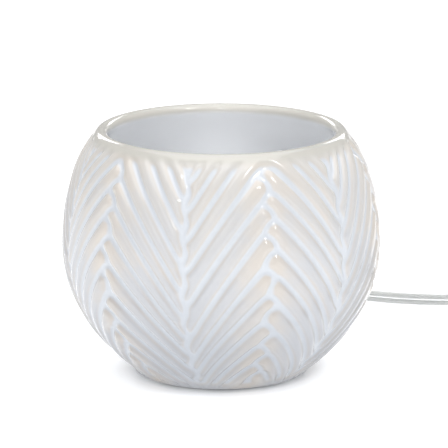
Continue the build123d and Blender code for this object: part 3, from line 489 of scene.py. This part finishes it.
def makeShell():
    blank = bpy.data.objects.new("shellBlank", spunMesh("shellBlank", shellProfile(), shell["columns"]))
    scene.collection.objects.link(blank)
    lines = barLines()
    tree, keys = carvingTree()
    modifier = blank.modifiers.new("carving", "NODES")
    modifier.node_group = tree
    settings = {
        "Bar lines": lines, "Groove depth": carving["depth"],
        "Flank": carving["flank"], "Rounding": carving["rounding"],
        "Bar reach": carving["reach"], "Channel": carving["channel"], "Edge blend": carving["blend"],
        "Collar start": carving["collar"][0], "Collar end": carving["collar"][1],
        "Foot start": carving["footFade"][0], "Foot end": carving["footFade"][1], "Glaze": shellGlaze(),
    }
    for name, value in settings.items():
        modifier[keys[name]] = value
    made = plainMesh(blank, "carvedShell")
    bpy.data.objects.remove(lines)
    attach(made, "warmer")
    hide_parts("ceramic_shell")
    print("shell carved,", len(made.data.polygons), "faces")


makeShell()


# flat twin cord

cord = {
    "thickness": 2.5, "width": 4.8, "waist": 0.35, "coreRadius": 0.75, "lobeSteps": 14, "coreSteps": 10,
    "inletHeight": 15.0, "inletRun": (27.0, 50.0, 71.9),
}
leadRoute = [
    (0.0, 72.0, 15.0), (0.0, 91.0, 15.0), (12.0, 107.5, 10.2), (38.0, 113.6, 4.4), (68.0, 103.9, 2.6),
    (97.0, 96.9, 2.9), (113.0, 92.7, 5.0), (127.0, 88.87, 5.0),
]
linkRoute = [
    (169.46, 77.34, 5.0), (182.97, 73.67, 5.0), (198.5, 65.0, 3.6), (206.5, 50.0, 3.3), (206.5, 34.0, 3.3),
]
coil = {
    "turns": 6, "radius": 32.4, "pitch": 3.4, "layer": 5.3, "floor": 3.3,
    "centre": (174.1, 29.17), "perTurn": 24, "climb": 0.5,
}
endRoute = [
    (206.5, 11.0, 8.6), (202.5, -5.0, 4.6), (189.0, -18.0, 3.4), (174.5, -22.5, 7.0), (162.5, -25.0, 7.0),
]


def coilPoint(turn):
    # in along the lower layer, out again along the upper one
    half = coil["turns"] / 2
    radius = coil["radius"] - coil["pitch"] * (half - abs(turn - half))
    climb = min(max((turn - half) / coil["climb"] + 0.5, 0), 1)
    angle = -2 * math.pi * turn
    x = coil["centre"][0] + radius * math.cos(angle)
    y = coil["centre"][1] + radius * math.sin(angle)
    return x, y, coil["floor"] + coil["layer"] * climb * climb * (3 - 2 * climb)


def routeLine(name, route):
    # points read from the route's smooth spline
    curve = bpy.data.curves.new(name, "CURVE")
    curve.dimensions = "3D"
    curve.resolution_u = 12
    spline = curve.splines.new("NURBS")
    spline.points.add(len(route) - 1)
    for point, place in zip(spline.points, route):
        point.co = (*[value * mm for value in place], 1)
    spline.order_u = 3
    spline.use_endpoint_u = True
    holder = bpy.data.objects.new(name, curve)
    scene.collection.objects.link(holder)
    bpy.context.view_layer.update()
    mesh = bpy.data.meshes.new_from_object(holder.evaluated_get(bpy.context.evaluated_depsgraph_get()))
    points = [vertex.co.copy() for vertex in mesh.vertices]
    bpy.data.objects.remove(holder)
    bpy.data.meshes.remove(mesh)
    return points


def lobedSection():
    # outline of the two joined lobes; the long way stands upright
    radius = cord["thickness"] / 2
    offset = cord["width"] / 2 - radius
    waist = math.asin(min(1.0, (offset - cord["waist"]) / radius))
    outline = []
    for side in (1, -1):
        for angle in steps(-waist, math.pi + waist, cord["lobeSteps"]):
            outline.append((side * radius * math.cos(angle), side * (offset + radius * math.sin(angle))))
    return outline


def circleSection(radius, level, count):
    angles = [2 * math.pi * k / count for k in range(count)]
    return [(radius * math.cos(angle), level + radius * math.sin(angle)) for angle in angles]


def tubeMesh(name, line, materials):
    # the sheath and its two cores along a line of points
    offset = cord["width"] / 2 - cord["thickness"] / 2
    sections = [(lobedSection(), 0)]
    sections += [(circleSection(cord["coreRadius"], level, cord["coreSteps"]), 1) for level in (-offset, offset)]
    points, faces, slots = [], [], []
    for outline, slotIndex in sections:
        base, count = len(points), len(outline)
        for index, place in enumerate(line):
            way = (line[min(index + 1, len(line) - 1)] - line[max(index - 1, 0)]).normalized()
            side = way.cross(Vector((0, 0, 1))).normalized()
            up = side.cross(way)
            points += [place + (side * x + up * y) * mm for x, y in outline]
        for ring in range(len(line) - 1):
            for k in range(count):
                a, b = base + ring * count + k, base + ring * count + (k + 1) % count
                faces.append((a, a + count, b + count, b))
        faces.append(tuple(base + k for k in range(count)))
        faces.append(tuple(base + (len(line) - 1) * count + k for k in reversed(range(count))))
        slots += [slotIndex] * (len(faces) - len(slots))
    mesh = bpy.data.meshes.new(name)
    mesh.from_pydata(points, [], faces)
    for material in materials:
        mesh.materials.append(material)
    mesh.polygons.foreach_set("material_index", slots)
    mesh.shade_smooth()
    made = bpy.data.objects.new(name, mesh)
    scene.collection.objects.link(made)
    return made


def lineLength(points):
    return sum((b - a).length for a, b in zip(points, points[1:]))


def clearSheath():
    material, tree, surface = newMaterial("clearSheath")
    cloud = noise(tree, 90.0, 3.0, 0.55)
    tree.links.new(blendColours(tree, cloud, (0.86, 0.88, 0.89), (0.95, 0.955, 0.95)), surface.inputs["Base Color"])
    tree.links.new(ease(tree, cloud, 0.3, 0.7, 0.12, 0.24), surface.inputs["Roughness"])
    surface.inputs["Transmission Weight"].default_value = 0.85
    surface.inputs["IOR"].default_value = 1.46
    return material


def coreSleeve():
    material, tree, surface = newMaterial("coreSleeve")
    grain = noise(tree, 400.0, 2.0)
    tree.links.new(blendColours(tree, grain, (0.80, 0.80, 0.78), (0.90, 0.90, 0.88)), surface.inputs["Base Color"])
    surface.inputs["Roughness"].default_value = 0.45
    return material


def makeCords():
    materials = [clearSheath(), coreSleeve()]
    leadLine = routeLine("leadRoute", leadRoute)
    turns = [coilPoint(step / coil["perTurn"]) for step in range(coil["turns"] * coil["perTurn"] + 1)]
    supplyLine = routeLine("supplyRoute", linkRoute + turns + endRoute)
    lead = tubeMesh("leadCord", leadLine, materials)
    supply = tubeMesh("supplyCord", supplyLine, materials)
    inletLine = [Vector((0, y, cord["inletHeight"])) * mm for y in cord["inletRun"]]
    inlet = tubeMesh("inletCord", inletLine, materials)
    stoodFor = (lead, ["cord_lead"]), (supply, ["cord_link", "cord_coil", "cord_end"]), (inlet, ["cord_inlet"])
    for piece, replaced in stoodFor:
        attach(piece, "warmer")
        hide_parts(*replaced)
    print("cords laid, lead %.3f m and supply %.3f m" % (lineLength(leadLine), lineLength(supplyLine)))


makeCords()


# finishes of the other nodes

finishes = {
    "dish_glaze": {
        "colours": ((0.64, 0.645, 0.65), (0.69, 0.69, 0.695)), "scale": 40.0, "rough": (0.12, 0.2), "coat": 0.4,
    },
    "plate_metal": {
        "colours": ((0.52, 0.53, 0.54), (0.66, 0.66, 0.66)), "scale": 300.0, "rough": (0.28, 0.42), "metal": 1.0,
    },
    "steel": {"colours": ((0.48, 0.49, 0.50), (0.62, 0.62, 0.62)), "scale": 220.0, "rough": (0.25, 0.4), "metal": 1.0},
    "brass": {"colours": ((0.58, 0.43, 0.18), (0.72, 0.56, 0.27)), "scale": 220.0, "rough": (0.22, 0.36), "metal": 1.0},
    "gasket": {"colours": ((0.42, 0.12, 0.07), (0.52, 0.17, 0.10)), "scale": 500.0, "rough": (0.6, 0.75)},
    "washers": {"colours": ((0.66, 0.66, 0.63), (0.76, 0.76, 0.72)), "scale": 500.0, "rough": (0.55, 0.7)},
    "element": {"colours": ((0.68, 0.64, 0.55), (0.78, 0.75, 0.67)), "scale": 400.0, "rough": (0.7, 0.85)},
    "mica": {"colours": ((0.28, 0.22, 0.15), (0.42, 0.35, 0.25)), "scale": 180.0, "rough": (0.35, 0.6)},
    "cover": {"colours": ((0.022, 0.022, 0.023), (0.034, 0.034, 0.035)), "scale": 900.0, "rough": (0.5, 0.65)},
    "feet": {"colours": ((0.020, 0.020, 0.020), (0.035, 0.035, 0.034)), "scale": 700.0, "rough": (0.7, 0.85)},
    "block": {"colours": ((0.72, 0.72, 0.69), (0.80, 0.80, 0.77)), "scale": 300.0, "rough": (0.4, 0.55)},
    "leads": {"colours": ((0.74, 0.74, 0.72), (0.82, 0.82, 0.80)), "scale": 300.0, "rough": (0.45, 0.6)},
    "fittings": {"colours": ((0.58, 0.585, 0.58), (0.64, 0.64, 0.635)), "scale": 600.0, "rough": (0.28, 0.4)},
    "relief": {"colours": ((0.74, 0.755, 0.755), (0.82, 0.83, 0.83)), "scale": 500.0, "rough": (0.3, 0.45)},
    "tie": {"colours": ((0.72, 0.72, 0.71), (0.80, 0.80, 0.79)), "scale": 800.0, "rough": (0.4, 0.55)},
    "cord": {"colours": ((0.74, 0.75, 0.75), (0.82, 0.82, 0.82)), "scale": 300.0, "rough": (0.25, 0.4)},
    "glaze": {"colours": ((0.78, 0.76, 0.72), (0.82, 0.83, 0.84)), "scale": 60.0, "rough": (0.12, 0.2)},
}


def finish(name, looks):
    material, tree, surface = newMaterial(name)
    grain = noise(tree, looks["scale"], 4.0, 0.6)
    tree.links.new(blendColours(tree, grain, *looks["colours"]), surface.inputs["Base Color"])
    tree.links.new(ease(tree, grain, 0.3, 0.7, *looks["rough"]), surface.inputs["Roughness"])
    surface.inputs["Metallic"].default_value = looks.get("metal", 0.0)
    surface.inputs["Coat Weight"].default_value = looks.get("coat", 0.0)
    tree.links.new(bump(tree, grain, 0.08, 0.0004), surface.inputs["Normal"])
    return material


def paintNodes():
    made = {name: finish(name, looks) for name, looks in finishes.items()}
    for part in frame["record"]["subparts"]:
        mesh = nodes[part["node"]].data
        mesh.materials.clear()
        mesh.materials.append(made[part["material_slot"]])
    print("nodes painted with", len(made), "finishes")


paintNodes()


# floor and light

studio = {
    "floor": 6.0, "floorColour": (0.90, 0.905, 0.915), "floorRoughness": 0.18, "world": 0.42,
    # strength of the floor's own painted glow, rising over these distances from the middle; where it is weak, round the
    # foot, it leaves a painted contact shadow
    "floorGlow": (0.06, 0.52), "glowSpread": (0.030, 0.046),
    "lampAim": (0.0, 0.0, 0.06), "spotSoftness": 0.02,
    # name: place, width, height, radiance
    "lamps": {
        "frontWall": ((-0.8, -2.4, 1.0), 2.0, 1.4, 1.0),
        "overhead": ((0.0, 0.0, 1.5), 2.0, 2.0, 1.6),
        "topBox": ((0.46, -0.62, 0.80), 0.16, 0.16, 22.0),
        "leftRim": ((-0.6, 1.2, 0.65), 0.3, 0.6, 6.0),
        "rightRim": ((0.6, 1.2, 0.65), 0.3, 0.6, 4.5),
    },
    # narrow spots through the mouth: place, aim, power, cone and blend
    "spots": {
        "bowlSpot": ((0.0, 0.0, 1.2), (0.0, 0.0, 0.045), 34.0, 4.2, 0.4),
        "wallSpot": ((0.0, -1.0, 0.55), (0.0, 0.045, 0.080), 23.0, 2.4, 1.0),
    },
}


def hang(name, data, place, aim):
    lamp = bpy.data.objects.new(name, data)
    lamp.location = place
    lamp.rotation_euler = (Vector(aim) - Vector(place)).to_track_quat("-Z", "Y").to_euler()
    scene.collection.objects.link(lamp)


def makeStudio():
    size = studio["floor"]
    mesh = bpy.data.meshes.new("floor")
    mesh.from_pydata([(-size, -size, 0), (size, -size, 0), (size, size, 0), (-size, size, 0)], [], [(0, 1, 2, 3)])
    floor = bpy.data.objects.new("floor", mesh)
    scene.collection.objects.link(floor)
    material, tree, surface = newMaterial("glowingFloor")
    surface.inputs["Base Color"].default_value = (*studio["floorColour"], 1)
    surface.inputs["Roughness"].default_value = studio["floorRoughness"]
    surface.inputs["Emission Color"].default_value = (*studio["floorColour"], 1)
    # painted light: the floor glows, less round the foot, which paints a contact shadow there
    away = addNode(tree, "ShaderNodeVectorMath", operation="LENGTH")
    tree.links.new(addNode(tree, "ShaderNodeTexCoord").outputs["Object"], away.inputs[0])
    glow = ease(tree, away.outputs["Value"], *studio["glowSpread"], *studio["floorGlow"])
    tree.links.new(glow, surface.inputs["Emission Strength"])
    mesh.materials.append(material)
    world = bpy.data.worlds.new("studio")
    world.use_nodes = True
    world.node_tree.nodes["Background"].inputs["Color"].default_value = (1, 1, 1, 1)
    world.node_tree.nodes["Background"].inputs["Strength"].default_value = studio["world"]
    scene.world = world
    for name, (place, width, height, radiance) in studio["lamps"].items():
        data = bpy.data.lights.new(name, "AREA")
        data.shape = "RECTANGLE"
        data.size, data.size_y = width, height
        data.energy = math.pi * width * height * radiance
        hang(name, data, place, studio["lampAim"])
    for name, (place, aim, power, cone, blend) in studio["spots"].items():
        data = bpy.data.lights.new(name, "SPOT")
        data.energy, data.spot_size, data.spot_blend = power, math.radians(cone), blend
        data.shadow_soft_size = studio["spotSoftness"]
        hang(name, data, place, aim)
    print("studio lit")


makeStudio()
